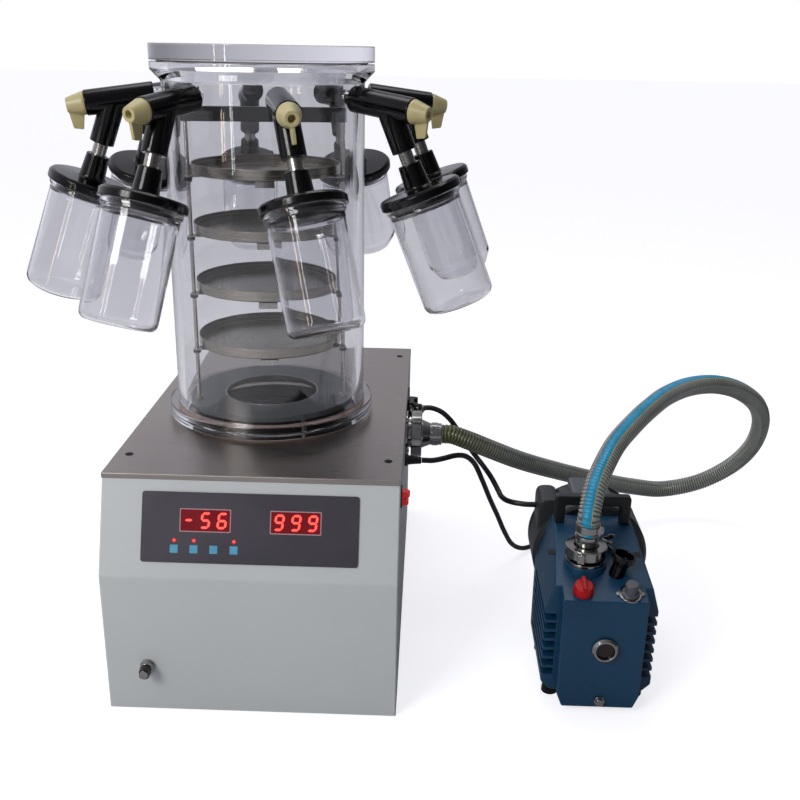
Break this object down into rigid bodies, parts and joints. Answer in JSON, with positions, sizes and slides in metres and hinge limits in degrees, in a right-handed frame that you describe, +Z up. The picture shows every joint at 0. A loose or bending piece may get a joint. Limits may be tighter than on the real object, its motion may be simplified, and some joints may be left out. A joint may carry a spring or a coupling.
{
  "type": "freeze dryer",
  "caption": "Bench-top freeze dryer with a clear drying chamber, tray rack, manifold valves carrying glass flasks, and a separate vacuum pump on a ribbed hose.",
  "frame": {"origin": "centre of the cabinet's base, on the surface it stands on", "axes": "+X toward the pump (the cabinet's right seen from the front), -Y toward the user, +Z up"},
  "size_m": [1.1253, 0.6868, 0.8121],
  "materials": {
    "cabinet_paint": "pale grey semi-gloss paint",
    "brushed_steel": "brushed stainless steel",
    "chrome": "polished stainless steel",
    "panel_film": "dark printed film, satin",
    "red_plastic": "gloss red",
    "black_plastic": "black moulded plastic",
    "black_rubber": "smooth black rubber",
    "orange_seal": "matt orange silicone",
    "clear_acrylic": "clear polished acrylic",
    "clear_glass": "clear glass",
    "ivory_plastic": "ivory moulded plastic",
    "grey_plastic": "dark grey plastic",
    "ribbed_hose": "grey-green translucent ribbed hose",
    "pump_blue": "blue enamel on cast metal",
    "motor_grey": "dark grey paint",
    "cord_black": "black cord sheath"
  },
  "bodies": {
    "dryer": {"cabinet_shell": "cabinet_paint", "base_pan": "cabinet_paint", "rear_panel": "cabinet_paint", "top_plate": "brushed_steel", "control_panel": "panel_film", "cold_trap": "brushed_steel", "side_connectors": "black_plastic", "base_seal": "orange_seal", "chamber_body": "clear_acrylic", "lid_seal": "black_rubber", "lid": "clear_acrylic", "baffle_ring": "grey_plastic", "rack_frame": "brushed_steel", "tray_1": "brushed_steel", "tray_2": "brushed_steel", "tray_3": "brushed_steel", "tray_4": "brushed_steel", "valve_a": "black_rubber", "valve_b": "black_rubber", "valve_c": "black_rubber", "valve_d": "black_rubber", "valve_e": "black_rubber", "valve_f": "black_rubber", "valve_g": "black_rubber", "valve_h": "black_rubber", "flask_a": "clear_glass", "flask_b": "clear_glass", "flask_c": "clear_glass", "flask_d": "clear_glass", "flask_e": "clear_glass", "flask_f": "clear_glass", "flask_g": "clear_glass", "flask_h": "clear_glass", "unit_adapter": "chrome", "unit_clamp": "chrome", "suction_hose": "ribbed_hose", "pump_case": "pump_blue", "pump_clamp": "chrome", "pump_adapter": "chrome", "pump_motor": "motor_grey", "pump_handle": "black_plastic", "sight_glass": "chrome", "mains_cord": "cord_black", "mains_coil": "cord_black", "mains_plug": "cord_black", "pump_cord": "cord_black"},
    "stopcock_a": {"plug_a": "ivory_plastic"},
    "stopcock_b": {"plug_b": "ivory_plastic"},
    "stopcock_c": {"plug_c": "ivory_plastic"},
    "stopcock_d": {"plug_d": "ivory_plastic"},
    "stopcock_e": {"plug_e": "ivory_plastic"},
    "stopcock_f": {"plug_f": "ivory_plastic"},
    "stopcock_g": {"plug_g": "ivory_plastic"},
    "stopcock_h": {"plug_h": "ivory_plastic"},
    "power_key": {"power_rocker": "red_plastic"},
    "vent_ring": {"vent_knob": "black_plastic"},
    "unit_nut": {"unit_wing_nut": "chrome"},
    "pump_nut": {"pump_wing_nut": "chrome"},
    "gas_ballast": {"ballast_knob": "red_plastic"},
    "oil_cap": {"filler_cap": "grey_plastic"}
  },
  "joints": [
    {"name": "stopcock_a_turn", "type": "hinge", "parent": "dryer", "child": "stopcock_a", "pos_m": [0.0516, -0.2284, 0.7386], "axis": [0.2733, -0.953, -0.1305], "continuous": true},
    {"name": "stopcock_b_turn", "type": "hinge", "parent": "dryer", "child": "stopcock_b", "pos_m": [0.1877, -0.1201, 0.7386], "axis": [0.8671, -0.4807, -0.1305], "continuous": true},
    {"name": "stopcock_c_turn", "type": "hinge", "parent": "dryer", "child": "stopcock_c", "pos_m": [0.2074, 0.0526, 0.7386], "axis": [0.953, 0.2733, -0.1305], "continuous": true},
    {"name": "stopcock_d_turn", "type": "hinge", "parent": "dryer", "child": "stopcock_d", "pos_m": [0.0991, 0.1887, 0.7386], "axis": [0.4807, 0.8671, -0.1305], "continuous": true},
    {"name": "stopcock_e_turn", "type": "hinge", "parent": "dryer", "child": "stopcock_e", "pos_m": [-0.0736, 0.2084, 0.7386], "axis": [-0.2733, 0.953, -0.1305], "continuous": true},
    {"name": "stopcock_f_turn", "type": "hinge", "parent": "dryer", "child": "stopcock_f", "pos_m": [-0.2097, 0.1001, 0.7386], "axis": [-0.8671, 0.4807, -0.1305], "continuous": true},
    {"name": "stopcock_g_turn", "type": "hinge", "parent": "dryer", "child": "stopcock_g", "pos_m": [-0.2294, -0.0726, 0.7386], "axis": [-0.953, -0.2733, -0.1305], "continuous": true},
    {"name": "stopcock_h_turn", "type": "hinge", "parent": "dryer", "child": "stopcock_h", "pos_m": [-0.1177, -0.2106, 0.7386], "axis": [-0.4655, -0.8754, -0.1305], "continuous": true},
    {"name": "power_rock", "type": "hinge", "parent": "dryer", "child": "power_key", "pos_m": [0.185, -0.243, 0.282], "axis": [0, -1, 0], "range_deg": [0, 16]},
    {"name": "vent_turn", "type": "hinge", "parent": "dryer", "child": "vent_ring", "pos_m": [-0.1315, -0.306, 0.065], "axis": [0, -1, 0], "range_deg": [0, 360]},
    {"name": "unit_nut_turn", "type": "hinge", "parent": "dryer", "child": "unit_nut", "pos_m": [0.20065, 0.048, 0.289], "axis": [0, 0, 1], "range_deg": [0, 360]},
    {"name": "pump_nut_turn", "type": "hinge", "parent": "dryer", "child": "pump_nut", "pos_m": [0.4356, -0.19287, 0.20515], "axis": [0.9397, -0.342, 0], "range_deg": [0, 360]},
    {"name": "gas_ballast_turn", "type": "hinge", "parent": "dryer", "child": "gas_ballast", "pos_m": [0.417, -0.27, 0.16972], "axis": [0, -0.3004, 0.9538], "range_deg": [0, 360]},
    {"name": "oil_cap_turn", "type": "hinge", "parent": "dryer", "child": "oil_cap", "pos_m": [0.476, -0.272, 0.16909], "axis": [0, -0.3004, 0.9538], "range_deg": [0, 360]}
  ]
}
